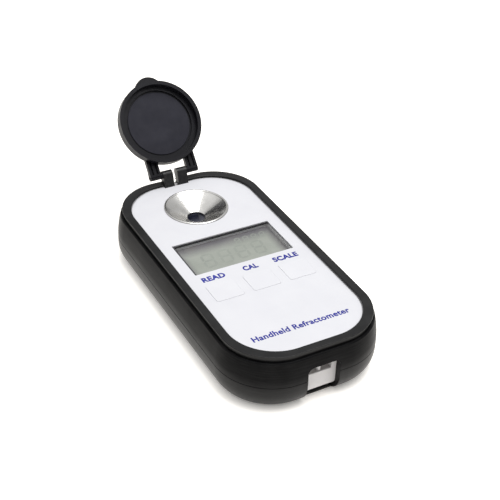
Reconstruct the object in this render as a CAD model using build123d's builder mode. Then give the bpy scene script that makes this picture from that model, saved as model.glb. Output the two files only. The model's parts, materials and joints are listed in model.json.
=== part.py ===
from build123d import *
import os
from math import asin, cos, degrees, radians, sin

# A pocket digital refractometer for sugar content, in a black rubber boot.
# A drop of liquid goes into the conical steel well. Under it an LED shines through a prism, and a
# line sensor reads where the light stops being reflected. A round cap on two arms covers the well.
#
# The frame: X across the instrument, +Y towards the cap's hinge, +Z up out of the display.
# The origin is the middle of the boot's underside. Everything is in millimetres.
# The cap is modelled standing open, which is its rest pose.

# ---------------------------------------------------------------- driving dimensions
# The hard case, without its boot.
case_width = 58.0
case_length = 121.0
case_radius = 19.0
case_low = 2.0
parting_z = 11.2
face_z = 22.5
wall = 1.8
floor_top = 4.0
roof_z = 20.2
overlay_low = 22.0
overlay_width = 53.0
overlay_length = 116.2
overlay_radius = 18.2
gap = 0.1  # round a piece that drops into a pocket
case_foot_radius = 3.4
case_edge_radius = 1.6

# The boot: how far its wall stands outside the case, at several heights.
lip_z = 23.6
lip_width = 53.2
lip_length = 116.4
lip_radius = 18.2
boot_top_out = 0.95
boot_shoulder_out = 1.75
boot_waist_out = 2.55
boot_full_out = 3.0
boot_foot_in = 1.9
foot_rise = 8.5
shoulder_z = 21.3
shoulder_radius = 0.7
waist_z = 16.6
crease_z = 11.3
crease_half = 0.16
crease_depth = 0.22
lip_groove_depth = 0.85  # at its top; it is shallower at its foot
lip_groove_foot = 0.45
lip_edge_radius = 0.25
lip_undercut = 0.4
notch_width = 13.3
notch_top = 16.4
notch_corner = 2.4

# The optics.
well_y = 38.7
rim_radius = 13.2
mouth_radius = 12.0
throat_radius = 3.7
rim_top = 22.9
mouth_z = 22.55
throat_z = 17.6
foot_z = 17.2
foot_radius = 8.8
prism_top = 16.9
prism_low = 10.9
prism_top_half = 7.0
prism_low_half = 3.0
prism_half_width = 5.0

# The display and the keys.
display_y = 6.45
display_width = 42.6
display_length = 21.1
window_margin = 1.7
bezel_wall = 0.9  # the display frame's rim, which stands up inside the window's opening
window_low = 21.2
board_low = 15.2
board_top = 16.8
glass_low = 17.9
glass_top = 19.9
key_names = ("read", "cal", "scale")
key_pitch = 15.5
key_y = -17.1
key_width = 11.5
key_length = 10.2
key_radius = 1.0
key_top = face_z + 0.1
key_gap = 0.05  # between a key and the hole that it moves in
key_flange = 0.6
key_low = 19.4
switch_top = 18.6
plunger_radius = 1.7

# The battery, an AAA cell, lies along the instrument with its button end towards the hinge.
cell_radius = 5.25
cell_length = 44.5
cell_start = -48.5
cell_z = 9.45
bay_half_width = 6.2
bay_start = -51.7
bay_end = -3.2
door_half_width = 9.6
door_start = -57.2
door_end = -1.2
door_top = 3.2
door_screw = [(0, -55.0)]

# The cap and its hinge.
hinge_y = 60.5
hinge_z = 26.9
cap_open_angle = 133.0  # from shut to the rest pose
cap_reach = 21.8  # hinge to the middle of the cap
cap_radius = 17.9
cap_outer = 0.65  # heights in the cap's own frame, measured from the hinge axis
cap_rim = -4.25
cap_floor = -1.6
pad_face = -1.15
pad_back = -0.55
pad_radius = 13.7
knuckle_radius = 1.4
lug_radius = 1.8
pin_radius = 0.7
lug_inner_x = 1.0
lug_outer_x = 5.4
lug_front_y = 57.2
lug_back_y = 59.9
knuckle_inner_x = 5.55
arm_inner_x = 6.1
arm_outer_x = 10.9

# Screws, by the places of their axes.
case_screw_places = [(19.5, 51.0), (-19.5, 51.0), (19.5, -51.0), (-19.5, -51.0)]
board_screw_places = [(22.0, -27.5), (-22.0, -27.5), (12.0, -43.0), (-12.0, -43.0)]
optics_screw_places = [(x, well_y + y) for x in (14.0, -14.0) for y in (10.0, -10.0)]
bracket_screw_places = [(8.0, 55.8), (-8.0, 55.8)]
case_shank = 1.1
board_shank = 0.95
optics_shank = 0.9
bracket_shank = 0.8
door_shank = 0.9

key_places = [(key_pitch * (i - 1), key_y) for i in range(3)]
well_axis = Axis((0, well_y, 0), (0, 0, 1))
well_section = Plane.XZ.offset(-well_y)


def level(z):
    """The horizontal plane at height z."""
    return Plane.XY.offset(z)


def rounded_block(width, length, radius, low, high, centre=(0, 0), mode=Mode.ADD):
    """An upright block with rounded corners, between two heights."""
    with BuildSketch(level(low)) as outline:
        with Locations(centre):
            RectangleRounded(width, length, radius)
    extrude(outline.sketch, amount=high - low, mode=mode)


def plain_block(low, high, mode=Mode.ADD):
    """A square-edged block between two opposite corners."""
    size = [b - a for a, b in zip(low, high)]
    with Locations(tuple((a + b) / 2 for a, b in zip(low, high))):
        Box(*size, mode=mode)


def posts(places, radius, low, high, mode=Mode.ADD):
    """Upright round posts, or holes, between two heights."""
    with BuildSketch(level(low)) as circles:
        with Locations(*places):
            Circle(radius)
    extrude(circles.sketch, amount=high - low, mode=mode)


def key_holes(low, high):
    """The holes that the keys move in, between two heights."""
    for place in key_places:
        rounded_block(
            key_width + 2 * key_gap,
            key_length + 2 * key_gap,
            key_radius + key_gap,
            low,
            high,
            centre=place,
            mode=Mode.SUBTRACT,
        )


def screws(places, head_radius, head_low, head_high, shank_radius, tip):
    """Cross-head screws driven upwards from below."""
    with BuildPart() as group:
        posts(places, head_radius, head_low, head_high)
        fillet(group.edges().group_by(Axis.Z)[0], radius=0.25)
        posts(places, shank_radius, head_high, tip)
        chamfer(group.edges().group_by(Axis.Z)[-1], length=0.3)
        with BuildSketch(level(head_low)) as cross:
            with Locations(*places):
                Rectangle(head_radius * 1.1, head_radius * 0.25)
                Rectangle(head_radius * 0.25, head_radius * 1.1)
        extrude(cross.sketch, amount=(head_high - head_low) * 0.6, mode=Mode.SUBTRACT)
    return group


def save(piece, name):
    """Labels a finished piece and writes its file."""
    piece.part.label = name
    export_step(piece.part, f"parts/{name}.step")


os.makedirs("parts", exist_ok=True)

# ---------------------------------------------------------------- rubber boot
boot_ring_in = 6.0  # how far the swept ring reaches in under the case
groove_top = lip_z - 0.3
hinge_gap_half = lug_outer_x + gap
boot_window = (21.0, 56.0, 2.5)
boot_window_y = -28.7
notch_back = -56.5  # inside the window, so that only the sill parts them
sill_front = -58.6
sill_top = 0.8
lug_gap_back = 60.7
lug_gap_low = 21.8
slot_low = 20.6

with BuildPart() as boot:
    with BuildLine() as case_outline:
        FilletPolyline(
            (case_width / 2, -case_length / 2),
            (case_width / 2, case_length / 2),
            (-case_width / 2, case_length / 2),
            (-case_width / 2, -case_length / 2),
            radius=case_radius,
            close=True,
        )
    ring_direction = case_outline.line % 0
    ring_plane = Plane(
        origin=case_outline.line @ 0,
        x_dir=ring_direction.cross(Vector(0, 0, 1)),
        z_dir=-ring_direction,
    )
    with BuildSketch(ring_plane) as ring_section:
        with BuildLine():
            Polyline((boot_top_out - lip_edge_radius, lip_z), (-boot_ring_in, lip_z), (-boot_ring_in, 0))
            Line((-boot_ring_in, 0), (-boot_foot_in, 0))
            TangentArc((boot_full_out, foot_rise), (-boot_foot_in, 0), tangent=(0, -1))
            Polyline(
                (boot_full_out, foot_rise),
                (boot_full_out, crease_z - crease_half),
                (boot_full_out - crease_depth, crease_z),
                (boot_full_out, crease_z + crease_half),
            )
            ThreePointArc((boot_full_out, crease_z + crease_half), (2.87, 14.0), (boot_waist_out, waist_z))
            ThreePointArc(
                (boot_waist_out, waist_z),
                (2.21, 18.7),
                (boot_shoulder_out, shoulder_z - shoulder_radius),
            )
            RadiusArc(
                (boot_shoulder_out, shoulder_z - shoulder_radius),
                (boot_shoulder_out - shoulder_radius, shoulder_z),
                -shoulder_radius,
            )
            Polyline(
                (boot_shoulder_out - shoulder_radius, shoulder_z),
                (boot_top_out - lip_groove_foot, shoulder_z),
                (boot_top_out - lip_groove_depth, groove_top),
                (boot_top_out, groove_top),
                (boot_top_out, lip_z - lip_edge_radius),
            )
            RadiusArc(
                (boot_top_out, lip_z - lip_edge_radius),
                (boot_top_out - lip_edge_radius, lip_z),
                -lip_edge_radius,
            )
        make_face()
    sweep(ring_section.sketch, path=case_outline.line)
    rounded_block(
        case_width - 2 * boot_ring_in,
        case_length - 2 * boot_ring_in,
        case_radius - boot_ring_in,
        0,
        lip_z,
    )
    rounded_block(case_width, case_length, case_radius, case_low, face_z, mode=Mode.SUBTRACT)
    pocket_edges = boot.edges(Select.LAST).group_by(Axis.Z)
    fillet(pocket_edges[0], radius=case_foot_radius)
    fillet(pocket_edges[-1], radius=case_edge_radius)
    rounded_block(lip_width, lip_length, lip_radius, face_z, lip_z, mode=Mode.SUBTRACT)
    fillet(boot.edges(Select.LAST).group_by(Axis.Z)[-1], radius=0.35)
    rounded_block(
        lip_width + 2 * lip_undercut,
        lip_length + 2 * lip_undercut,
        lip_radius + lip_undercut,
        face_z,
        lip_z - 0.5,
        mode=Mode.SUBTRACT,
    )
    # The lip makes room for the hinge lugs, and the slot between them runs right through it.
    plain_block(
        (-hinge_gap_half, lug_front_y - gap, lug_gap_low),
        (hinge_gap_half, lug_gap_back, lip_z + 1),
        Mode.SUBTRACT,
    )
    plain_block((-lug_inner_x, 59, slot_low), (lug_inner_x, 64, lip_z + 1), Mode.SUBTRACT)
    # The strap notch in the near end, open below.
    with BuildSketch(Plane.XZ.offset(-notch_back)) as notch_outline:
        with BuildLine():
            FilletPolyline(
                (-notch_width / 2, -1),
                (-notch_width / 2, notch_top),
                (notch_width / 2, notch_top),
                (notch_width / 2, -1),
                radius=notch_corner,
            )
            Line((notch_width / 2, -1), (-notch_width / 2, -1))
        make_face()
    extrude(notch_outline.sketch, amount=7.5, mode=Mode.SUBTRACT)
    plain_block((-notch_width / 2 - 1, sill_front, 0), (notch_width / 2 + 1, notch_back, sill_top))
    rounded_block(*boot_window, 0, case_low, centre=(0, boot_window_y), mode=Mode.SUBTRACT)
save(boot, "boot")

# ---------------------------------------------------------------- top shell
strap_pocket_half = 4.6
strap_pocket_top = 14.1
strap_pocket_back = -57.0
strap_post_y = -59.1
strap_post_radius = 0.8
strap_block_half = 6.0
strap_block_low = 9.6
strap_block_top = 15.3
strap_block_back = strap_pocket_back + 1.2
strap_block_front = -case_length / 2 + 1
lug_slots = ((lug_inner_x - gap, lug_outer_x + gap), (-lug_outer_x - gap, -lug_inner_x + gap))

with BuildPart() as top_shell:
    rounded_block(case_width, case_length, case_radius, parting_z, face_z)
    fillet(top_shell.edges().group_by(Axis.Z)[-1], radius=case_edge_radius)
    rounded_block(
        case_width - 2 * wall,
        case_length - 2 * wall,
        case_radius - wall,
        parting_z,
        roof_z,
        mode=Mode.SUBTRACT,
    )
    posts(case_screw_places, 3.0, parting_z, roof_z)
    posts(board_screw_places, 2.2, board_top, roof_z)
    posts(optics_screw_places, 2.4, 14.0, roof_z)
    plain_block(
        (-strap_block_half, strap_block_front, parting_z),
        (strap_block_half, strap_block_back, strap_block_top),
    )
    plain_block(
        (-strap_pocket_half, -case_length / 2 - 1, parting_z - 1),
        (strap_pocket_half, strap_pocket_back, strap_pocket_top),
        Mode.SUBTRACT,
    )
    posts([(0, strap_post_y)], strap_post_radius, parting_z, strap_pocket_top)
    rounded_block(
        overlay_width + 2 * gap,
        overlay_length + 2 * gap,
        overlay_radius + gap,
        overlay_low,
        face_z,
        mode=Mode.SUBTRACT,
    )
    posts([(0, well_y)], 12.6, roof_z, overlay_low, Mode.SUBTRACT)
    rounded_block(
        display_width + 2 * window_margin,
        display_length + 2 * window_margin,
        1.0,
        window_low,
        overlay_low,
        centre=(0, display_y),
        mode=Mode.SUBTRACT,
    )
    rounded_block(
        display_width + 2 * bezel_wall,
        display_length + 2 * bezel_wall,
        0.5,
        roof_z,
        window_low,
        centre=(0, display_y),
        mode=Mode.SUBTRACT,
    )
    key_holes(roof_z, overlay_low)
    posts(case_screw_places, case_shank, parting_z, 15.6, Mode.SUBTRACT)
    posts(board_screw_places, board_shank, board_top, 19.4, Mode.SUBTRACT)
    posts(optics_screw_places, optics_shank, 14.0, 18.4, Mode.SUBTRACT)
    posts(bracket_screw_places, bracket_shank, roof_z, 21.6, Mode.SUBTRACT)
    for slot_start, slot_end in lug_slots:
        plain_block(
            (slot_start, lug_front_y - gap, roof_z), (slot_end, lug_back_y + gap, face_z + 1), Mode.SUBTRACT
        )
save(top_shell, "top_shell")

# ---------------------------------------------------------------- bottom shell
gasket_out = 0.5
gasket_width = 0.8
gasket_low = 10.5
bay_wall = 1.2
bay_middle = (bay_start + bay_end) / 2
bay_length = bay_end - bay_start
door_middle = (door_start + door_end) / 2
door_length = door_end - door_start
door_seal = (15.8, 50.3, 1.6, 3.6)  # outline through the middle of the seal, corner radius, top
door_seal_y = -27.45
door_seal_width = 0.8


def ring(width, length, radius, thickness, low, high, centre=(0, 0), mode=Mode.ADD):
    """A flat rounded ring whose middle line has the given outline."""
    with BuildSketch(level(low)) as outline:
        with Locations(centre):
            RectangleRounded(width + thickness, length + thickness, radius + thickness / 2)
            RectangleRounded(
                width - thickness, length - thickness, radius - thickness / 2, mode=Mode.SUBTRACT
            )
    extrude(outline.sketch, amount=high - low, mode=mode)


gasket_inset = 2 * gasket_out + gasket_width
gasket_outline = (
    case_width - gasket_inset,
    case_length - gasket_inset,
    case_radius - gasket_inset / 2,
    gasket_width,
    gasket_low,
    parting_z,
)

gasket_pad = ((-5.3, -59.4, gasket_low), (5.3, -56.6, parting_z))  # closes the strap pocket's floor

with BuildPart() as bottom_shell:
    rounded_block(case_width, case_length, case_radius, case_low, parting_z)
    fillet(bottom_shell.edges().group_by(Axis.Z)[0], radius=case_foot_radius)
    rounded_block(
        case_width - 2 * wall,
        case_length - 2 * wall,
        case_radius - wall,
        floor_top,
        parting_z,
        mode=Mode.SUBTRACT,
    )
    rounded_block(
        2 * (bay_half_width + bay_wall),
        bay_length + 2 * bay_wall,
        bay_wall,
        floor_top,
        parting_z,
        centre=(0, bay_middle),
    )
    posts(case_screw_places, 3.2, floor_top, parting_z)
    posts(door_screw, 2.0, floor_top, 9.4)
    plain_block(
        (-strap_block_half, strap_block_front, strap_block_low),
        (strap_block_half, strap_block_back, parting_z),
    )
    ring(*gasket_outline, mode=Mode.SUBTRACT)
    plain_block(*gasket_pad, Mode.SUBTRACT)
    rounded_block(
        2 * (door_half_width + gap),
        door_length + 2 * gap,
        2.0,
        case_low,
        door_top,
        centre=(0, door_middle),
        mode=Mode.SUBTRACT,
    )
    plain_block(
        (-bay_half_width, bay_start, door_top), (bay_half_width, bay_end, parting_z), Mode.SUBTRACT
    )
    ring(
        *door_seal[:3],
        door_seal_width,
        door_top,
        door_seal[3],
        centre=(0, door_seal_y),
        mode=Mode.SUBTRACT,
    )
    posts(case_screw_places, 2.4, case_low, 4.4, Mode.SUBTRACT)
    posts(case_screw_places, 1.25, 4.4, parting_z, Mode.SUBTRACT)
    posts(door_screw, door_shank, door_top, 8.4, Mode.SUBTRACT)
save(bottom_shell, "bottom_shell")

with BuildPart() as shell_gasket:
    ring(*gasket_outline)
    plain_block(*gasket_pad)
save(shell_gasket, "shell_gasket")

save(screws(case_screw_places, 2.2, 2.5, 4.4, case_shank, 15.2), "case_screws")

# ---------------------------------------------------------------- face overlay and display window
with BuildPart() as face_overlay:
    rounded_block(overlay_width, overlay_length, overlay_radius, overlay_low, face_z)
    posts([(0, well_y)], rim_radius + gap, overlay_low, face_z, Mode.SUBTRACT)
    rounded_block(
        display_width,
        display_length,
        0.3,
        overlay_low,
        face_z,
        centre=(0, display_y),
        mode=Mode.SUBTRACT,
    )
    key_holes(overlay_low, face_z)
    plain_block(
        (-hinge_gap_half, lug_front_y - gap, overlay_low), (hinge_gap_half, 59, face_z), Mode.SUBTRACT
    )
save(face_overlay, "face_overlay")

with BuildPart() as display_window:
    rounded_block(
        display_width + 2 * (window_margin - gap),
        display_length + 2 * (window_margin - gap),
        0.9,
        window_low,
        overlay_low,
        centre=(0, display_y),
    )
save(display_window, "display_window")

# ---------------------------------------------------------------- keys and their switches
for name, place in zip(key_names, key_places):
    with BuildPart() as key:
        rounded_block(key_width, key_length, key_radius, key_low, key_top, centre=place)
        fillet(key.edges().group_by(Axis.Z)[-1], radius=0.1)
        rounded_block(
            key_width + 2 * key_flange,
            key_length + 2 * key_flange,
            key_radius,
            key_low,
            roof_z - 0.05,
            centre=place,
        )
    save(key, f"{name}_key")

    with BuildPart() as plunger:
        posts([place], plunger_radius, switch_top - 0.8, key_low)
    save(plunger, f"{name}_plunger")

with BuildPart() as switch_bodies:
    for place in key_places:
        rounded_block(6.0, 6.0, 0.4, board_top, switch_top, centre=place)
    posts(key_places, plunger_radius + 0.06, switch_top - 1.4, switch_top, Mode.SUBTRACT)
save(switch_bodies, "switch_bodies")

# ---------------------------------------------------------------- main board
chips = (((13.0, 9.0), (7.0, 7.0)), ((-12.0, 11.0), (5.0, 4.0)), ((-13.0, -12.0), (9.0, 5.0)))
chip_height = 1.0

with BuildPart() as main_board:
    with BuildSketch(level(board_low)) as board_outline:
        with Locations((0, -12.9)):
            RectangleRounded(50.0, 68.2, 2.0)
        with Locations((0, -49.0)):
            Rectangle(30.0, 8.0)
        with Locations(*board_screw_places):
            Circle(1.1, mode=Mode.SUBTRACT)
    extrude(board_outline.sketch, amount=board_top - board_low)
save(main_board, "main_board")

with BuildPart() as board_chips:
    for place, size in chips:
        rounded_block(*size, 0.2, board_low - chip_height, board_low, centre=place)
save(board_chips, "board_chips")

save(screws(board_screw_places, 2.0, 14.0, board_low, board_shank, 19.0), "board_screws")

# ---------------------------------------------------------------- liquid crystal display
glass_width = 44.6
glass_length = 25.6
connector_offset = 11.8

with BuildPart() as lcd_panel:
    rounded_block(glass_width, glass_length, 0.2, glass_low, glass_top - 1.0, centre=(0, display_y))
    rounded_block(
        glass_width, glass_length - 3.0, 0.2, glass_top - 1.0, glass_top, centre=(0, display_y)
    )
save(lcd_panel, "lcd_panel")

with BuildPart() as lcd_reflector:
    rounded_block(glass_width - 2, 20.4, 0.2, glass_low - 0.2, glass_low, centre=(0, display_y))
save(lcd_reflector, "lcd_reflector")

with BuildPart() as lcd_connectors:
    for side in (-1, 1):
        rounded_block(
            40.0, 1.6, 0.2, board_top, glass_low, centre=(0, display_y + side * connector_offset)
        )
save(lcd_connectors, "lcd_connectors")

with BuildPart() as lcd_frame:
    rounded_block(glass_width + 3.4, glass_length + 3.0, 1.0, board_top, roof_z, centre=(0, display_y))
    rounded_block(
        display_width + 2 * (bezel_wall - gap),
        display_length + 2 * (bezel_wall - gap),
        0.4,
        roof_z,
        window_low,
        centre=(0, display_y),
    )
    rounded_block(
        glass_width + 2 * gap,
        glass_length + 2 * gap,
        0.2,
        board_top,
        glass_top,
        centre=(0, display_y),
        mode=Mode.SUBTRACT,
    )
    rounded_block(
        display_width,
        display_length,
        0.2,
        glass_top,
        window_low,
        centre=(0, display_y),
        mode=Mode.SUBTRACT,
    )
save(lcd_frame, "lcd_frame")

# ---------------------------------------------------------------- sample well
cone_run = mouth_radius - throat_radius
cone_rise = mouth_z - throat_z
cone_length = (cone_run**2 + cone_rise**2) ** 0.5
well_wall = 0.8
flange_low = overlay_low
cone_shift_r = well_wall * cone_rise / cone_length
cone_shift_z = well_wall * cone_run / cone_length
outer_mouth = (mouth_radius + cone_shift_r, mouth_z - cone_shift_z)
foot_top = foot_z + 0.8
outer_foot_r = throat_radius + cone_shift_r + (foot_top - throat_z + cone_shift_z) * cone_run / cone_rise

with BuildPart() as sample_well:
    with BuildSketch(well_section) as well_profile:
        with BuildLine():
            Polyline((throat_radius, foot_z), (throat_radius, throat_z), (mouth_radius, mouth_z))
            ThreePointArc((mouth_radius, mouth_z), (12.55, rim_top), (rim_radius, mouth_z))
            Polyline(
                (rim_radius, mouth_z),
                (rim_radius, flange_low),
                (12.5, flange_low),
                outer_mouth,
                (outer_foot_r, foot_top),
                (foot_radius, foot_top),
                (foot_radius, foot_z),
                (throat_radius, foot_z),
            )
        make_face()
    revolve(well_profile.sketch, axis=well_axis)
save(sample_well, "sample_well")

# ---------------------------------------------------------------- optics under the well
block_low = 6.5
block_half_width = 11.0
block_half_length = 15.0
ear_low = 12.0
ear_top = 14.0
side_rise = prism_top - prism_low
side_run = prism_top_half - prism_low_half
side_length = (side_rise**2 + side_run**2) ** 0.5
light_y = side_rise / side_length  # the light meets the prism's sides squarely
light_z = -side_run / side_length
side_middle_y = (prism_top_half + prism_low_half) / 2
side_middle_z = (prism_top + prism_low) / 2
led_plane = Plane(
    origin=(0, well_y + side_middle_y, side_middle_z), x_dir=(1, 0, 0), z_dir=(0, light_y, light_z)
)
sensor_plane = Plane(
    origin=(0, well_y - side_middle_y, side_middle_z), x_dir=(1, 0, 0), z_dir=(0, -light_y, light_z)
)
led_radius = 1.5
led_start = 3.2
led_end = 7.8
led_lead_end = 11.0
led_lead_x = 0.64
lens_radius = 2.25
sensor_face = 3.0
sensor_back = 4.4
sensor_board_back = 5.4
thermistor_place = [(8.0, well_y)]


def prism_shape(clearance, high, mode=Mode.ADD):
    """The prism, or with a clearance its pocket: a trapezium lying across the instrument."""
    slope = side_run / side_rise
    grow = clearance / light_y
    top_half = prism_top_half + grow + (high - prism_top) * slope
    low_half = prism_low_half + grow - clearance * slope
    with BuildSketch(Plane.YZ) as trapezium:
        with BuildLine():
            Polyline(
                (well_y - top_half, high),
                (well_y + top_half, high),
                (well_y + low_half, prism_low - clearance),
                (well_y - low_half, prism_low - clearance),
                close=True,
            )
        make_face()
    extrude(trapezium.sketch, amount=prism_half_width + clearance, both=True, mode=mode)


with BuildPart() as prism:
    prism_shape(0, prism_top)
save(prism, "prism")

with BuildPart() as prism_seal:
    with BuildSketch(level(prism_top)):
        with Locations((0, well_y)):
            Rectangle(2 * prism_half_width, 2 * prism_top_half)
            Circle(throat_radius, mode=Mode.SUBTRACT)
    extrude(amount=foot_z - prism_top)
save(prism_seal, "prism_seal")

with BuildPart() as optics_block:
    rounded_block(
        2 * block_half_width, 2 * block_half_length, 1.5, block_low, foot_z, centre=(0, well_y)
    )
    for side in (-1, 1):
        rounded_block(33.4, 5.2, 2.5, ear_low, ear_top, centre=(0, well_y + side * 10.0))
    prism_shape(0.05, foot_z, mode=Mode.SUBTRACT)
    with BuildSketch(led_plane.offset(-0.4)) as lens_bore:
        Circle(lens_radius + 0.05)
    extrude(lens_bore.sketch, amount=led_start + 0.3, mode=Mode.SUBTRACT)
    with BuildSketch(led_plane) as led_bore:
        Circle(led_radius + 0.15)
    extrude(led_bore.sketch, amount=20, mode=Mode.SUBTRACT)
    with BuildSketch(sensor_plane.offset(-0.4)) as sensor_channel:
        Rectangle(9.6, 4.0)
    extrude(sensor_channel.sketch, amount=sensor_back + 0.4, mode=Mode.SUBTRACT)
    with BuildSketch(sensor_plane.offset(sensor_back)) as sensor_pocket:
        Rectangle(13.4, 6.8)
    extrude(sensor_pocket.sketch, amount=20, mode=Mode.SUBTRACT)
    posts(optics_screw_places, 1.0, ear_low, ear_top, Mode.SUBTRACT)
    posts(thermistor_place, 0.95, 14.1, foot_z, Mode.SUBTRACT)
save(optics_block, "optics_block")

save(screws(optics_screw_places, 2.0, 10.8, ear_low, optics_shank, 18.0), "optics_screws")

with BuildPart() as collimator_lens:
    with BuildSketch(led_plane.offset(0.3)) as lens_disc:
        Circle(lens_radius)
    extrude(lens_disc.sketch, amount=1.6)
    fillet(collimator_lens.edges().sort_by(Axis(led_plane.origin, led_plane.z_dir))[-1], radius=0.7)
save(collimator_lens, "collimator_lens")

with BuildPart() as led:
    with BuildSketch(led_plane.offset(led_start)) as led_disc:
        Circle(led_radius)
    extrude(led_disc.sketch, amount=led_end - led_start)
    fillet(led.edges().sort_by(Axis(led_plane.origin, led_plane.z_dir))[0], radius=1.2)
    with BuildSketch(led_plane.offset(led_end)) as led_lead_ends:
        with Locations((led_lead_x, 0), (-led_lead_x, 0)):
            Circle(0.25)
    extrude(led_lead_ends.sketch, amount=led_lead_end - led_end)
save(led, "led")

lead_start = led_plane.from_local_coords(Vector(led_lead_x, 0, led_lead_end))
lead_bend = led_plane.from_local_coords(Vector(led_lead_x, 0, led_lead_end + 3.0))
lead_run_x = 12.9
lead_end_y = 19.0

with BuildPart() as led_leads:
    with BuildLine() as lead_route:
        FilletPolyline(
            lead_start,
            lead_bend,
            (lead_run_x, lead_bend.Y, lead_bend.Z),
            (lead_run_x, lead_end_y, lead_bend.Z),
            (lead_run_x, lead_end_y, board_low),
            radius=1.4,
        )
    with BuildSketch(Plane(origin=lead_start, z_dir=led_plane.z_dir)) as lead_section:
        Circle(0.5)
    sweep(lead_section.sketch, path=lead_route.line)
    mirror(about=Plane.YZ)
save(led_leads, "led_leads")

with BuildPart() as sensor_chip:
    with BuildSketch(sensor_plane.offset(sensor_face)) as chip_outline:
        Rectangle(9.2, 2.8)
    extrude(chip_outline.sketch, amount=sensor_back - sensor_face)
save(sensor_chip, "sensor_chip")

with BuildPart() as sensor_board:
    with BuildSketch(sensor_plane.offset(sensor_back)) as sensor_board_outline:
        Rectangle(13.0, 6.4)
    extrude(sensor_board_outline.sketch, amount=sensor_board_back - sensor_back)
save(sensor_board, "sensor_board")

ribbon_thickness = 0.3
ribbon_start = sensor_plane.from_local_coords(Vector(0, 1.2, sensor_board_back))
ribbon_bend = sensor_plane.from_local_coords(Vector(0, 1.2, sensor_board_back + 8.2))
ribbon_z = board_low - ribbon_thickness / 2

with BuildPart() as sensor_ribbon:
    with BuildSketch(Plane.YZ.offset(-4.0)) as ribbon_section:
        with BuildLine():
            FilletPolyline(
                (ribbon_start.Y, ribbon_start.Z),
                (ribbon_bend.Y, ribbon_bend.Z),
                (20.6, ribbon_z),
                (16.6, ribbon_z),
                radius=1.2,
            )
        trace(line_width=ribbon_thickness)
    extrude(ribbon_section.sketch, amount=8.0)
save(sensor_ribbon, "sensor_ribbon")

with BuildPart() as thermistor:
    posts(thermistor_place, 0.9, 14.2, foot_z)
save(thermistor, "thermistor")

# ---------------------------------------------------------------- battery
contact_half = 4.0
contact_low = 5.5
contact_thickness = 0.4
spring_radius = 3.0
spring_wire = 0.3
spring_pitch = 0.8


def across(y):
    """The upright plane across the instrument at y, looking towards the hinge."""
    return Plane(origin=(0, y, cell_z), x_dir=(1, 0, 0), z_dir=(0, 1, 0))


with BuildPart() as battery:
    with BuildSketch(across(cell_start)):
        Circle(cell_radius)
    extrude(amount=cell_length - 1.0)
    fillet(battery.edges(), radius=0.4)
    with BuildSketch(across(cell_start + cell_length - 1.0)):
        Circle(1.9)
    extrude(amount=1.0)
save(battery, "battery")

with BuildPart() as battery_contacts:
    for low_y in (bay_start + 0.1, cell_start + cell_length):
        plain_block(
            (-contact_half, low_y, contact_low), (contact_half, low_y + contact_thickness, board_low)
        )
save(battery_contacts, "battery_contacts")

spring_start = bay_start + 0.1 + contact_thickness + spring_wire + 0.02
spring_height = cell_start - spring_wire - 0.02 - spring_start

with BuildPart() as battery_spring:
    with BuildLine() as coil:
        Helix(
            pitch=spring_pitch,
            height=spring_height,
            radius=spring_radius,
            center=(0, spring_start, cell_z),
            direction=(0, 1, 0),
        )
    with BuildSketch(Plane(origin=coil.line @ 0, z_dir=coil.line % 0)) as coil_section:
        Circle(spring_wire)
    sweep(coil_section.sketch, path=coil.line, is_frenet=True)
save(battery_spring, "battery_spring")

with BuildPart() as battery_door:
    rounded_block(
        2 * door_half_width, door_length, 1.9, case_low, door_top, centre=(0, door_middle)
    )
    posts(door_screw, 2.0, case_low, 2.75, Mode.SUBTRACT)
    posts(door_screw, 1.0, 2.75, door_top, Mode.SUBTRACT)
    # Grip grooves for a thumb.
    with BuildSketch(level(case_low)) as grips:
        with GridLocations(0, 1.8, 1, 5):
            with Locations((0, -11.0)):
                SlotOverall(11.0, 0.8)
    extrude(grips.sketch, amount=0.4, mode=Mode.SUBTRACT)
save(battery_door, "battery_door")

with BuildPart() as battery_door_seal:
    ring(*door_seal[:3], door_seal_width, door_top, door_seal[3], centre=(0, door_seal_y))
save(battery_door_seal, "battery_door_seal")

save(screws(door_screw, 1.9, 2.1, 2.75, door_shank, 8.0), "battery_door_screw")

# ---------------------------------------------------------------- hinge bracket
plate_low = 18.0
bracket_plate = (23.0, 6.9, 1.5)  # its width, its length and its corner radius
bracket_plate_y = 55.2


def tangent_point(start, turn):
    """Where a line from start, in the upright plane, touches the round top of a lug."""
    to_axis = Vector(hinge_y - start[0], hinge_z - start[1])
    reach = (to_axis.length**2 - lug_radius**2) ** 0.5
    half = turn * degrees(asin(lug_radius / to_axis.length))
    return Vector(*start) + to_axis.normalized().rotate(Axis.Z, half) * reach


lug_front = (lug_front_y, face_z)
lug_back = (lug_back_y, face_z)
front_touch = tangent_point(lug_front, 1)
back_touch = tangent_point(lug_back, -1)

with BuildPart() as hinge_bracket:
    with BuildSketch(Plane.YZ.offset(lug_inner_x)) as lug_outline:
        with BuildLine():
            ThreePointArc(front_touch, (hinge_y, hinge_z + lug_radius), back_touch)
            Polyline(
                back_touch,
                lug_back,
                (lug_back_y, roof_z),
                (lug_front_y, roof_z),
                lug_front,
                front_touch,
            )
        make_face()
    extrude(lug_outline.sketch, amount=lug_outer_x - lug_inner_x)
    with BuildSketch(Plane.YZ.offset(lug_inner_x + 1.2)) as lug_bore:
        with Locations((hinge_y, hinge_z)):
            Circle(pin_radius + 0.05)
    extrude(lug_bore.sketch, amount=lug_outer_x, mode=Mode.SUBTRACT)
    mirror(about=Plane.YZ)
    rounded_block(*bracket_plate, plate_low, roof_z, centre=(0, bracket_plate_y))
    posts(bracket_screw_places, bracket_shank + 0.1, plate_low, roof_z, Mode.SUBTRACT)
save(hinge_bracket, "hinge_bracket")

save(screws(bracket_screw_places, 1.6, 17.0, plate_low, bracket_shank, 21.4), "bracket_screws")

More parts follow.
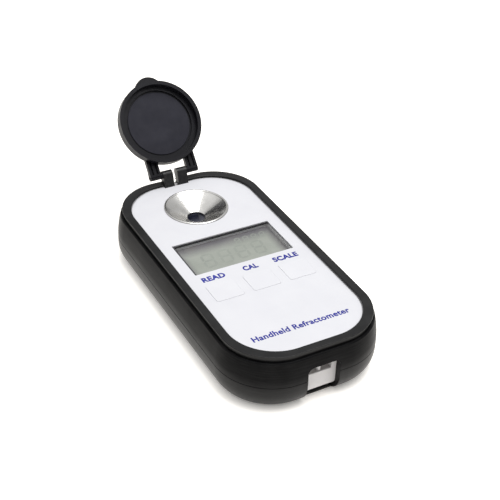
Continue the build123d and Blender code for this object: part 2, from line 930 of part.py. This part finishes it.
with BuildPart() as hinge_pins:
    with BuildSketch(Plane.YZ.offset(lug_inner_x + 1.3)) as pin_section:
        with Locations((hinge_y, hinge_z)):
            Circle(pin_radius)
    extrude(pin_section.sketch, amount=arm_outer_x - 0.6 - lug_inner_x - 1.3)
    mirror(about=Plane.YZ)
save(hinge_pins, "hinge_pins")

# ---------------------------------------------------------------- cap
# The cap is drawn as if shut, in a frame at the hinge: y towards the hinge, heights along its
# outer side. The frame is then turned back by the open angle.
lean = radians(cap_open_angle)
cap_plane = Plane(origin=(0, hinge_y, hinge_z), x_dir=(1, 0, 0), z_dir=(0, sin(lean), cos(lean)))
cap_axis = Axis(cap_plane.origin, cap_plane.z_dir)
cap_centre = [(0, -cap_reach)]
tab_radius = 6.4
tab_reach = 14.1
tab_low = -1.7
cap_edge_radius = 0.9
rim_inner_radius = 16.3
pad_groove_radius = 14.4
pad_groove = -0.75
arm_root = -12.0  # how far an arm reaches in over the cap
arm_top = cap_outer - 0.1
arm_groove_width = 0.9
arm_groove_middles = (7.5, 9.5)
arm_groove_depth = 0.9


def cap_discs(places, radius, low, high, mode=Mode.ADD):
    """Round discs, or recesses, between two heights of the cap's own frame."""
    with BuildSketch(cap_plane.offset(low)) as circles:
        with Locations(*places):
            Circle(radius)
    extrude(circles.sketch, amount=high - low, mode=mode)


def arm_plane(x):
    """The plane of an arm's side at x: its own x runs towards the hinge, its y outwards."""
    return Plane(origin=(x, hinge_y, hinge_z), x_dir=cap_plane.y_dir, z_dir=(1, 0, 0))


with BuildPart() as cap:
    cap_discs(cap_centre, cap_radius, cap_rim, cap_outer)
    fillet(cap.faces().sort_by(cap_axis)[-1].edges(), radius=cap_edge_radius)
    cap_discs([(0, -cap_reach - tab_reach)], tab_radius, tab_low, cap_outer - cap_edge_radius)
    with BuildSketch(arm_plane(knuckle_inner_x)) as knuckle_outline:
        Circle(knuckle_radius)
    extrude(knuckle_outline.sketch, amount=arm_outer_x - knuckle_inner_x)
    with BuildSketch(arm_plane(arm_inner_x)) as arm_outline:
        with BuildLine():
            Polyline(
                (0, -knuckle_radius),
                (arm_root, -knuckle_radius),
                (arm_root, arm_top),
                (-3.2, arm_top),
                (0, knuckle_radius),
                close=True,
            )
        make_face()
    extrude(arm_outline.sketch, amount=arm_outer_x - arm_inner_x)
    with BuildSketch(cap_plane.offset(-knuckle_radius)) as arm_groove_outline:
        for middle in arm_groove_middles:
            with Locations((middle, -4.6)):
                Rectangle(arm_groove_width, 7.6)
    extrude(arm_groove_outline.sketch, amount=arm_groove_depth, mode=Mode.SUBTRACT)
    with BuildSketch(arm_plane(knuckle_inner_x - 1)) as arm_bore:
        Circle(pin_radius)
    extrude(arm_bore.sketch, amount=8, mode=Mode.SUBTRACT)
    mirror(about=Plane.YZ)
    cap_discs(cap_centre, rim_inner_radius, cap_rim, cap_floor, Mode.SUBTRACT)
    cap_discs(cap_centre, pad_groove_radius, cap_floor, pad_groove, Mode.SUBTRACT)
    cap_discs(cap_centre, pad_radius, pad_groove, pad_back, Mode.SUBTRACT)
save(cap, "cap")

with BuildPart() as cap_pad:
    cap_discs(cap_centre, pad_radius, pad_face, pad_back)
    fillet(cap_pad.faces().sort_by(cap_axis)[0].edges(), radius=0.25)
save(cap_pad, "cap_pad")
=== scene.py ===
import json
from math import cos, radians, sin

import bmesh
import bpy
from mathutils import Matrix, Vector


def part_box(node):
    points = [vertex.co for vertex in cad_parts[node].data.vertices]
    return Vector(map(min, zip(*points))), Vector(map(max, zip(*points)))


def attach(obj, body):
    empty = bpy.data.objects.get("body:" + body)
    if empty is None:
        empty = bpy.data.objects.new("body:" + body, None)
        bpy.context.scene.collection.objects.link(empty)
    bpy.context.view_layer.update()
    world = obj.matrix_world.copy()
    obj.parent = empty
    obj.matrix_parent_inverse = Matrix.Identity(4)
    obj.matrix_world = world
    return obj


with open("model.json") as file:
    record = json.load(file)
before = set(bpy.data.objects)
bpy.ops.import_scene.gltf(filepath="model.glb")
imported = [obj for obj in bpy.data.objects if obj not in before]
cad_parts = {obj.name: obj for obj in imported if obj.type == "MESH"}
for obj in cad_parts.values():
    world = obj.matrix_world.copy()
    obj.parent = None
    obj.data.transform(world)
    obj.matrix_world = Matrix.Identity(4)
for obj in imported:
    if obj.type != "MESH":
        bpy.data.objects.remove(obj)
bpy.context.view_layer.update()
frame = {"nodes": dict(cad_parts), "record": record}
nodes = frame["nodes"]
MM = 0.001

# ---------------------------------------------------------------- camera
CAMERA_AZIMUTH = radians(29.795)  # turned from +Y towards +X
CAMERA_ELEVATION = radians(34.959)
CAMERA_DISTANCE = 0.44208
CAMERA_ROLL = radians(2.354)
CAMERA_LENS = 78.41  # for the sensor width below
CAMERA_SENSOR = 36.0
CAMERA_TARGET = Vector((0.01265, 0.01482, 0.0120))
CAMERA_CLIP = (0.01, 20.0)


def add_camera():
    view = Vector(
        (
            cos(CAMERA_ELEVATION) * sin(CAMERA_AZIMUTH),
            cos(CAMERA_ELEVATION) * cos(CAMERA_AZIMUTH),
            -sin(CAMERA_ELEVATION),
        )
    )
    right = view.cross(Vector((0, 0, 1))).normalized()
    up = right.cross(view)
    rolled_right = right * cos(CAMERA_ROLL) + up * sin(CAMERA_ROLL)
    rolled_up = up * cos(CAMERA_ROLL) - right * sin(CAMERA_ROLL)
    camera = bpy.data.objects.new("camera", bpy.data.cameras.new("camera"))
    camera.data.lens = CAMERA_LENS
    camera.data.sensor_width = CAMERA_SENSOR
    camera.data.clip_start, camera.data.clip_end = CAMERA_CLIP
    turn = Matrix((rolled_right, rolled_up, -view)).transposed().to_4x4()
    camera.matrix_world = Matrix.Translation(CAMERA_TARGET - view * CAMERA_DISTANCE) @ turn
    bpy.context.scene.collection.objects.link(camera)
    bpy.context.scene.camera = camera


add_camera()


# ---------------------------------------------------------------- node helpers
class Nodes:
    """Short ways to add nodes to a tree. A value can be another node's output or a plain value."""

    def __init__(self, tree):
        self.tree = tree

    def node(self, kind, **settings):
        made = self.tree.nodes.new(kind)
        for key, value in settings.items():
            setattr(made, key, value)
        return made

    def feed(self, value, target):
        if isinstance(value, bpy.types.NodeSocket):
            self.tree.links.new(value, target)
        else:
            target.default_value = value

    def math(self, operation, *values):
        made = self.node("ShaderNodeMath", operation=operation)
        for value, target in zip(values, made.inputs):
            self.feed(value, target)
        return made.outputs["Value"]

    def vector(self, operation, *values, output="Vector"):
        made = self.node("ShaderNodeVectorMath", operation=operation)
        for value, target in zip(values, made.inputs):
            self.feed(value, target)
        return made.outputs[output]

    def split(self, vector):
        made = self.node("ShaderNodeSeparateXYZ")
        self.feed(vector, made.inputs["Vector"])
        return made.outputs

    def mix(self, factor, low, high):
        """Mixes two colours."""
        made = self.node("ShaderNodeMix", data_type="RGBA")
        for value, name in ((factor, "Factor"), (low, "A"), (high, "B")):
            self.feed((*value, 1) if isinstance(value, tuple) else value, made.inputs[name])
        return made.outputs["Result"]

    def mix_shader(self, factor, first, second):
        made = self.node("ShaderNodeMixShader")
        for value, target in zip((factor, first, second), made.inputs):
            self.feed(value, target)
        return made.outputs["Shader"]

    def ramp(self, factor, low, high, start=0.3, end=0.7, shape="LINEAR"):
        """Maps a factor from start..end to low..high: colours or single values.

        The range is noise's own unless another is given.
        """
        made = self.node("ShaderNodeMapRange", interpolation_type=shape)
        made.inputs["From Min"].default_value = start
        made.inputs["From Max"].default_value = end
        self.feed(factor, made.inputs["Value"])
        if isinstance(low, tuple):
            return self.mix(made.outputs["Result"], low, high)
        made.inputs["To Min"].default_value = low
        made.inputs["To Max"].default_value = high
        return made.outputs["Result"]


class Shader(Nodes):
    """A material around one Principled BSDF, whose textures follow the object in metres."""

    def __init__(self, name):
        self.material = bpy.data.materials.new(name)
        self.material.use_nodes = True
        super().__init__(self.material.node_tree)
        self.bsdf = self.tree.nodes["Principled BSDF"]
        self.place = self.node("ShaderNodeTexCoord").outputs["Object"]

    def set(self, **values):
        """Feeds the BSDF's inputs, named with underscores for spaces."""
        for key, value in values.items():
            self.feed(value, self.bsdf.inputs[key.replace("_", " ")])

    def surface(self, shader):
        self.feed(shader, self.tree.nodes["Material Output"].inputs["Surface"])

    def noise(self, size, detail=3.0, roughness=0.5, stretch=(1, 1, 1)):
        """Noise whose features are about size metres across."""
        mapping = self.node("ShaderNodeMapping")
        mapping.inputs["Scale"].default_value = stretch
        self.feed(self.place, mapping.inputs["Vector"])
        made = self.node("ShaderNodeTexNoise")
        made.inputs["Scale"].default_value = 1.0 / size
        made.inputs["Detail"].default_value = detail
        made.inputs["Roughness"].default_value = roughness
        self.feed(mapping.outputs["Vector"], made.inputs["Vector"])
        return made.outputs["Fac"]

    def bump(self, height, depth, before=None):
        made = self.node("ShaderNodeBump")
        made.inputs["Strength"].default_value = 1.0
        made.inputs["Distance"].default_value = depth
        self.feed(height, made.inputs["Height"])
        if before:
            self.feed(before, made.inputs["Normal"])
        self.set(Normal=made.outputs["Normal"])
        return made.outputs["Normal"]

    def edge_distance(self, low, high, sides):
        """How far a point is inside a box's chosen sides ("left", "right" or "far")."""
        distances = {
            "left": ("X", 1.0, -low.x),
            "right": ("X", -1.0, high.x),
            "far": ("Y", -1.0, high.y),
        }
        places = self.split(self.place)
        nearest = None
        for side in sides:
            axis, sign, start = distances[side]
            inside = self.math("MULTIPLY_ADD", places[axis], sign, start)
            nearest = inside if nearest is None else self.math("MINIMUM", nearest, inside)
        return nearest


# ---------------------------------------------------------------- materials
def moulded(
    name, dark, light, rough, grain=0.25 * MM, depth=0.006 * MM, specular=0.5, metallic=0.0
):
    """A slow drift of tone between two colours, uneven gloss and a fine grain."""
    tone_size, gloss_size = 9 * MM, 3 * MM
    s = Shader(name)
    s.set(
        Base_Color=s.ramp(s.noise(tone_size, 4.0), dark, light),
        Roughness=s.ramp(s.noise(gloss_size, 5.0), *rough),
        Specular_IOR_Level=specular,
        Metallic=metallic,
    )
    s.bump(s.noise(grain, 2.0), depth)
    return s.material


def white_plastic(name, dark, light, rough, grain):
    return moulded(name, dark, light, rough, grain, depth=0.004 * MM, specular=0.4)


def plain_metal(name, dark, light, rough):
    return moulded(name, dark, light, rough, grain=0.2 * MM, depth=0.002 * MM, metallic=1.0)


def boot_rubber():
    """Soft black rubber with faint streaks that run round the boot, and a little dust in them."""
    wall_gloss, shoulder_gloss = 0.19, 0.04  # the wall gets duller towards its top
    wall_dulls = (9.0 * MM, 14.5 * MM)
    lip_gloss = 0.28  # the lip is glossier again
    lip_starts = (21.6 * MM, 22.2 * MM)
    dust = (0.022, 0.022, 0.022)
    s = Shader("boot_rubber")
    streaks = s.noise(0.5 * MM, 4.0, 0.6, stretch=(0.05, 0.05, 1))
    clean = s.ramp(s.noise(7 * MM, 4.0), (0.005, 0.005, 0.0055), (0.010, 0.010, 0.0105))
    dusty = s.ramp(streaks, 0.0, 0.55, 0.45, 0.8)
    height = s.split(s.place)["Z"]
    wall = s.ramp(height, wall_gloss, shoulder_gloss, *wall_dulls)
    lip = s.ramp(height, 0.0, lip_gloss, *lip_starts)
    s.set(
        Base_Color=s.mix(dusty, clean, dust),
        Roughness=s.ramp(streaks, 0.30, 0.42),
        Specular_IOR_Level=s.math("ADD", wall, lip),
    )
    grain = s.bump(s.noise(0.3 * MM, 2.0), 0.01 * MM)
    s.bump(streaks, 0.02 * MM, before=grain)
    return s.material


def clear_window(low, high):
    """Clear acrylic with a dark line of painted shade along its left and far sides, where the
    opening's edge shades it.

    Light passes straight through, and the front face reflects a little.
    """
    # Painted shade: a dark line just inside the opening's left and far edges, shifted a little
    # inwards on the left.
    shade_line_shift = Vector((0.48 * MM, 0, 0))
    shade_line_fade = (0.30 * MM, 0.42 * MM)
    tint, index = (0.985, 0.99, 0.985, 1), 1.38
    s = Shader("window_clear")
    clear = s.node("ShaderNodeBsdfTransparent")
    clear.inputs["Color"].default_value = tint
    gloss = s.node("ShaderNodeBsdfGlossy")
    s.feed(s.ramp(s.noise(6 * MM), 0.04, 0.09), gloss.inputs["Roughness"])
    fresnel = s.node("ShaderNodeFresnel")
    fresnel.inputs["IOR"].default_value = index
    front = s.math("SUBTRACT", 1.0, s.node("ShaderNodeNewGeometry").outputs["Backfacing"])
    reflection = s.math("MULTIPLY", fresnel.outputs["Fac"], front)
    pane = s.mix_shader(reflection, clear.outputs["BSDF"], gloss.outputs["BSDF"])
    # The dark colour of the painted shade line.
    s.set(Base_Color=s.ramp(s.noise(2 * MM), (0.035, 0.033, 0.038), (0.05, 0.048, 0.054)))
    edge = s.edge_distance(low + shade_line_shift, high, ("left", "far"))
    s.surface(s.mix_shader(s.ramp(edge, 1.0, 0.0, *shade_line_fade), pane, s.bsdf.outputs["BSDF"]))
    return s.material


def turned_steel(centre):
    """Polished steel with the fine rings that turning leaves round the given centre."""
    ring_scale = 1500.0  # a ring every 0.2 mm
    s = Shader("well_steel")
    rings = s.node("ShaderNodeTexWave", wave_type="RINGS", rings_direction="Z")
    rings.inputs["Scale"].default_value = ring_scale
    rings.inputs["Distortion"].default_value = 0.6
    rings.inputs["Detail"].default_value = 2.0
    s.feed(s.vector("SUBTRACT", s.place, centre), rings.inputs["Vector"])
    s.set(
        Base_Color=s.ramp(s.noise(4 * MM), (0.70, 0.69, 0.665), (0.78, 0.77, 0.75)),
        Roughness=s.ramp(s.noise(1.2 * MM, 4.0), 0.17, 0.26),
        Metallic=1.0,
    )
    s.bump(rings.outputs["Fac"], 0.0008 * MM)
    return s.material


def dark_glass(centre):
    """The prism's dark face, with painted light: a little paler towards its near side, where light
    gets into it.
    """
    # Painted light: the colour turns paler towards the near side.
    pale_until, dark_from = centre.y - 3.2 * MM, centre.y + 0.8 * MM
    pale = (0.060, 0.062, 0.082)
    s = Shader("prism_glass")
    nearness = s.ramp(s.split(s.place)["Y"], 1.0, 0.0, pale_until, dark_from)
    dark = s.ramp(s.noise(2 * MM), (0.006, 0.007, 0.014), (0.012, 0.014, 0.026))
    s.set(
        Base_Color=s.mix(nearness, dark, pale),
        Roughness=s.ramp(s.noise(1 * MM), 0.04, 0.09),
        Specular_IOR_Level=0.6,
    )
    return s.material


def lcd_glass(low, high):
    """The display behind its polariser: grey-green, with painted shade in violet-grey along its
    far, left and right edges, where the bezel shades it.
    """
    # How dark the painted shade of the bezel is, and the span over which it fades, at the far edge
    # and at the sides.
    far_shade, far_depth = 0.95, (1.5 * MM, 7.0 * MM)
    side_shade, side_depth = 0.85, (0.8 * MM, 4.2 * MM)
    s = Shader("lcd_glass")
    middle = s.ramp(s.noise(7 * MM), (0.345, 0.36, 0.326), (0.392, 0.404, 0.37))
    # The colour of the painted shade.
    shade = s.ramp(s.noise(9 * MM, 2.0), (0.150, 0.140, 0.165), (0.205, 0.190, 0.195))
    far = s.ramp(s.edge_distance(low, high, ("far",)), far_shade, 0.0, *far_depth)
    sides = s.ramp(s.edge_distance(low, high, ("left", "right")), side_shade, 0.0, *side_depth)
    s.set(
        Base_Color=s.mix(s.math("MAXIMUM", far, sides), middle, shade),
        Roughness=s.ramp(s.noise(1 * MM), 0.28, 0.36),
    )
    s.bump(s.noise(0.12 * MM, 2.0), 0.002 * MM)
    return s.material


# The part of the display that shows through the face, as the near left and far right corners.
OPENING = (Vector((-21.3, -4.1, 0)) * MM, Vector((21.3, 17.0, 0)) * MM)
WELL_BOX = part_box("sample_well")
WELL_CENTRE = (WELL_BOX[0] + WELL_BOX[1]) / 2

# For each look: its darkest and lightest colour, and its lowest and highest roughness.
MOULDED = {
    "optics_black": ((0.008, 0.008, 0.008), (0.016, 0.016, 0.016), (0.6, 0.8)),
    "seal_rubber": ((0.02, 0.02, 0.02), (0.035, 0.035, 0.035), (0.5, 0.7)),
    "gasket_silicone": ((0.40, 0.385, 0.38), (0.46, 0.44, 0.43), (0.5, 0.7)),
    "board_green": ((0.01, 0.09, 0.03), (0.02, 0.14, 0.05), (0.3, 0.45)),
    "chip_black": ((0.012, 0.012, 0.013), (0.02, 0.02, 0.02), (0.5, 0.65)),
    "switch_black": ((0.012, 0.012, 0.013), (0.02, 0.02, 0.02), (0.4, 0.55)),
    "plunger_cream": ((0.50, 0.45, 0.33), (0.58, 0.53, 0.40), (0.4, 0.55)),
    "connector_rubber": ((0.10, 0.08, 0.08), (0.16, 0.13, 0.13), (0.5, 0.7)),
    "led_resin": ((0.60, 0.45, 0.12), (0.70, 0.56, 0.20), (0.08, 0.16)),
    "lens_acrylic": ((0.70, 0.72, 0.75), (0.78, 0.80, 0.83), (0.04, 0.1)),
    "lead_red": ((0.30, 0.01, 0.01), (0.42, 0.02, 0.02), (0.3, 0.45)),
    "sensor_dark": ((0.01, 0.01, 0.016), (0.02, 0.02, 0.03), (0.08, 0.2)),
    "ribbon_white": ((0.50, 0.47, 0.38), (0.60, 0.57, 0.46), (0.4, 0.5)),
    "thermistor_bead": ((0.01, 0.01, 0.01), (0.02, 0.02, 0.02), (0.15, 0.3)),
    "cell_wrap": ((0.02, 0.06, 0.18), (0.03, 0.08, 0.22), (0.25, 0.35)),
}
METALS = {
    "pin_steel": ((0.50, 0.50, 0.51), (0.60, 0.60, 0.60), (0.22, 0.34)),
    "screw_steel": ((0.36, 0.36, 0.38), (0.48, 0.48, 0.48), (0.28, 0.45)),
    "lcd_reflector": ((0.60, 0.62, 0.60), (0.70, 0.71, 0.70), (0.4, 0.5)),
    "contact_nickel": ((0.50, 0.50, 0.47), (0.60, 0.59, 0.55), (0.25, 0.4)),
}
# As above, and the size of the grain.
WHITES = {
    "shell_white": ((0.62, 0.61, 0.62), (0.68, 0.67, 0.68), (0.42, 0.55), 0.35 * MM),
    "overlay_film": ((0.74, 0.74, 0.775), (0.77, 0.77, 0.80), (0.40, 0.48), 0.15 * MM),
    "key_white": ((0.75, 0.75, 0.785), (0.78, 0.78, 0.81), (0.38, 0.46), 0.15 * MM),
    "frame_white": ((0.78, 0.77, 0.79), (0.85, 0.84, 0.86), (0.45, 0.6), 0.3 * MM),
}
# As above, and the depth of the grain and the strength of the reflection.
BLACKS = {
    "cap_black": (
        (0.006, 0.006, 0.0085), (0.010, 0.010, 0.0135), (0.36, 0.48), 0.3 * MM, 0.008 * MM, 0.2
    ),
    "cap_slate": (
        (0.020, 0.020, 0.029), (0.028, 0.028, 0.039), (0.62, 0.75), 0.22 * MM, 0.02 * MM, 0.25
    ),
    "hinge_black": (
        (0.008, 0.008, 0.009), (0.014, 0.014, 0.015), (0.36, 0.5), 0.3 * MM, 0.006 * MM, 0.5
    ),
}


def make_looks():
    """One material for each material slot in the record."""
    looks = {
        "boot_rubber": boot_rubber(),
        "window_clear": clear_window(*OPENING),
        "well_steel": turned_steel(WELL_CENTRE),
        "prism_glass": dark_glass(WELL_CENTRE),
        "lcd_glass": lcd_glass(*OPENING),
    }
    groups = ((moulded, MOULDED), (moulded, BLACKS), (white_plastic, WHITES), (plain_metal, METALS))
    for make, rows in groups:
        for name, values in rows.items():
            looks[name] = make(name, *values)
    return looks


def paint_nodes(looks):
    """Gives each CAD node the look of its material slot in the record."""
    for row in frame["record"]["subparts"]:
        piece = nodes[row["node"]]
        piece.data.materials.clear()
        piece.data.materials.append(looks[row["material_slot"]])


paint_nodes(make_looks())


def add_object(name, mesh, look):
    """Adds a finished mesh to the scene, with one material."""
    mesh.materials.clear()
    mesh.materials.append(look)
    made = bpy.data.objects.new(name, mesh)
    bpy.context.scene.collection.objects.link(made)
    return made


# ---------------------------------------------------------------- printed legends
FACE_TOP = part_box("face_overlay")[1].z
INK_THICKNESS = 0.03 * MM
CAPITALS_SHARE = 0.70  # the height of the built-in font's capitals, as a share of its size
LETTER_SPACING = 1.06
INK_BLUE = moulded(
    "ink_blue",
    (0.012, 0.018, 0.25),
    (0.02, 0.028, 0.33),
    (0.45, 0.6),
    grain=0.1 * MM,
    depth=0.003 * MM,
    specular=0.3,
)


def legend(name, words, left, right, baseline, capitals, weight):
    """A printed word across the face, from left to right.

    Its capitals have the given height, and its strokes are widened by the given weight.
    """
    curve = bpy.data.curves.new(name, "FONT")
    curve.body = words
    curve.size = capitals / CAPITALS_SHARE
    curve.offset = weight
    curve.space_character = LETTER_SPACING
    curve.extrude = INK_THICKNESS / 2
    curve.resolution_u = 6
    text = bpy.data.objects.new(name, curve)
    bpy.context.scene.collection.objects.link(text)
    bpy.context.view_layer.update()
    depsgraph = bpy.context.evaluated_depsgraph_get()
    mesh = bpy.data.meshes.new_from_object(text.evaluated_get(depsgraph))
    bpy.data.objects.remove(text)
    low = min(v.co.x for v in mesh.vertices)
    high = max(v.co.x for v in mesh.vertices)
    stretch = (right - left) / (high - low)
    middle = FACE_TOP + INK_THICKNESS / 2
    for v in mesh.vertices:
        v.co = Vector((left + (v.co.x - low) * stretch, baseline + v.co.y, middle + v.co.z))
    piece = add_object(name, mesh, INK_BLUE)
    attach(piece, "body")


KEY_ROW = {"baseline": -9.4 * MM, "capitals": 2.6 * MM, "weight": 0.165 * MM}
TITLE_ROW = {"baseline": -48.1 * MM, "capitals": 2.65 * MM, "weight": 0.11 * MM}
legend("legend_read", "READ", -20.5 * MM, -11.0 * MM, **KEY_ROW)
legend("legend_cal", "CAL", -3.2 * MM, 3.0 * MM, **KEY_ROW)
legend("legend_scale", "SCALE", 9.9 * MM, 20.6 * MM, **KEY_ROW)
legend("legend_title", "Handheld Refractometer", -20.3 * MM, 19.6 * MM, **TITLE_ROW)


# ---------------------------------------------------------------- the display's faint segments
GLASS_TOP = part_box("lcd_panel")[1].z
SEGMENT_LIFT = 0.015 * MM
SEGMENT_GAP = 0.35  # between a segment's end and its corner, as a share of its half width
DIGIT_LEAN = 0.1
DIGITS_IN_ROW = 4
GHOST = moulded("ghost_segment", (0.303, 0.320, 0.292), (0.350, 0.368, 0.334), (0.28, 0.36))


def segment(mesh, start, end, half):
    """One bar of a digit: a flat lozenge from start to end, leaning as the whole digit does."""
    start, end = Vector(start), Vector(end)
    along = (end - start).normalized()
    side = Vector((-along.y, along.x)) * half
    tip = along * half
    outline = [
        start, start + tip + side, end - tip + side, end, end - tip - side, start + tip - side
    ]
    mesh.faces.new([mesh.verts.new((p.x + p.y * DIGIT_LEAN, p.y, 0)) for p in outline])


def digits(name, pitch, first_x, y, width, height, half):
    """A row of seven-segment figures, all segments showing faintly, as on an unlit display."""
    mesh = bmesh.new()
    w, h, gap = width / 2, height / 2, half * SEGMENT_GAP
    for i in range(DIGITS_IN_ROW):
        first = len(mesh.verts)
        for bar_y in (-h, 0, h):
            segment(mesh, (-w + gap, bar_y), (w - gap, bar_y), half)
        for bar_x in (-w, w):
            segment(mesh, (bar_x, gap), (bar_x, h - gap), half)
            segment(mesh, (bar_x, -h + gap), (bar_x, -gap), half)
        mesh.verts.ensure_lookup_table()
        for v in mesh.verts[first:]:
            v.co += Vector((first_x + pitch * i, y, GLASS_TOP + SEGMENT_LIFT))
    bmesh.ops.recalc_face_normals(mesh, faces=mesh.faces)
    data = bpy.data.meshes.new(name)
    mesh.to_mesh(data)
    mesh.free()
    piece = add_object(name, data, GHOST)
    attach(piece, "body")


digits(
    "large_digits",
    pitch=7.3 * MM,
    first_x=-10.7 * MM,
    y=5.6 * MM,
    width=4.2 * MM,
    height=8.0 * MM,
    half=0.5 * MM,
)
digits(
    "small_digits",
    pitch=3.7 * MM,
    first_x=5.6 * MM,
    y=12.6 * MM,
    width=1.9 * MM,
    height=3.6 * MM,
    half=0.28 * MM,
)


# ---------------------------------------------------------------- stage and light
FLOOR_HALF = 6.0
FLOOR_DROP = 0.02 * MM  # below the object, so that the two don't share a plane
OUTLINE_RADIUS = 22.0 * MM  # of the object's rounded outline on the floor
# The floor's glow is painted light, and its fade towards the object's outline is a painted contact
# shadow.
GLOW = 0.65
CONTACT_SHADOW_FADE = (OUTLINE_RADIUS - 6.5 * MM, OUTLINE_RADIUS + 0.3 * MM)
HOLE_EDGE = (OUTLINE_RADIUS - 7.5 * MM, OUTLINE_RADIUS - 7.0 * MM)


def floor_paper():
    """Pale paper with painted light: it glows softly, and the glow fades out near and under the
    object as a painted contact shadow.

    It can be seen through from below and under the object, so that the underside shows.
    """
    s = Shader("floor_paper")
    low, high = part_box("boot")
    centre = ((low.x + high.x) / 2, (low.y + high.y) / 2, 0)
    straight = (
        (high.x - low.x) / 2 - OUTLINE_RADIUS, (high.y - low.y) / 2 - OUTLINE_RADIUS, 1
    )
    from_centre = s.vector("ABSOLUTE", s.vector("SUBTRACT", s.place, centre))
    outside = s.vector("MAXIMUM", s.vector("SUBTRACT", from_centre, straight), (0, 0, 0))
    distance = s.vector("LENGTH", outside, output="Value")
    s.set(
        Base_Color=s.ramp(s.noise(20 * MM), (0.88, 0.85, 0.80), (0.91, 0.885, 0.84)),
        Roughness=0.9,
        Specular_IOR_Level=0.1,
        Emission_Color=(1.0, 0.98, 0.95, 1),
        # painted light, fading to a painted contact shadow near the object
        Emission_Strength=s.ramp(distance, 0.0, GLOW, *CONTACT_SHADOW_FADE),
    )
    below = s.node("ShaderNodeNewGeometry").outputs["Backfacing"]
    clear = s.math("MAXIMUM", below, s.ramp(distance, 1.0, 0.0, *HOLE_EDGE))
    nothing = s.node("ShaderNodeBsdfTransparent").outputs["BSDF"]
    s.surface(s.mix_shader(clear, s.bsdf.outputs["BSDF"], nothing))
    return s.material


def add_floor():
    mesh = bpy.data.meshes.new("floor")
    signs = ((-1, -1), (1, -1), (1, 1), (-1, 1))
    mesh.from_pydata([(x * FLOOR_HALF, y * FLOOR_HALF, 0) for x, y in signs], [], [(0, 1, 2, 3)])
    floor = add_object("floor", mesh, floor_paper())
    floor.location.z = -FLOOR_DROP


def add_light(name, place, target, size, power):
    """A square lamp that shines from its place towards its target."""
    light = bpy.data.objects.new(name, bpy.data.lights.new(name, "AREA"))
    light.data.size = size
    light.data.energy = power
    turn = (Vector(target) - Vector(place)).to_track_quat("-Z", "Y").to_matrix().to_4x4()
    light.matrix_world = Matrix.Translation(place) @ turn
    bpy.context.scene.collection.objects.link(light)


def add_world(strength):
    """A white backdrop whose light comes from overhead and behind, hardly at all from near."""
    from_behind = (0.5, 0.87, 0)
    dim, white, backdrop = (0.02, 0.02, 0.022), (1.0, 1.0, 1.0), (1.2, 1.2, 1.2)
    world = bpy.data.worlds.new("studio")
    world.use_nodes = True
    w = Nodes(world.node_tree)
    direction = w.node("ShaderNodeTexCoord").outputs["Generated"]
    overhead = w.ramp(w.split(direction)["Z"], 0.0, 1.0, 0.35, 0.85, "SMOOTHSTEP")
    behind = w.vector("DOT_PRODUCT", direction, from_behind, output="Value")
    behind = w.ramp(behind, 0.0, 0.62, -0.25, 0.55, "SMOOTHSTEP")
    light = w.mix(w.math("MAXIMUM", overhead, behind), dim, white)
    seen = w.node("ShaderNodeLightPath").outputs["Is Camera Ray"]
    background = w.tree.nodes["Background"]
    w.feed(w.mix(seen, light, backdrop), background.inputs["Color"])
    background.inputs["Strength"].default_value = strength
    bpy.context.scene.world = world


add_floor()
add_world(strength=0.85)
add_light("key_light", place=(0.2, -0.05, 1.15), target=(0, 0, 0), size=0.8, power=9.0)
bpy.context.scene.view_settings.view_transform = "Standard"
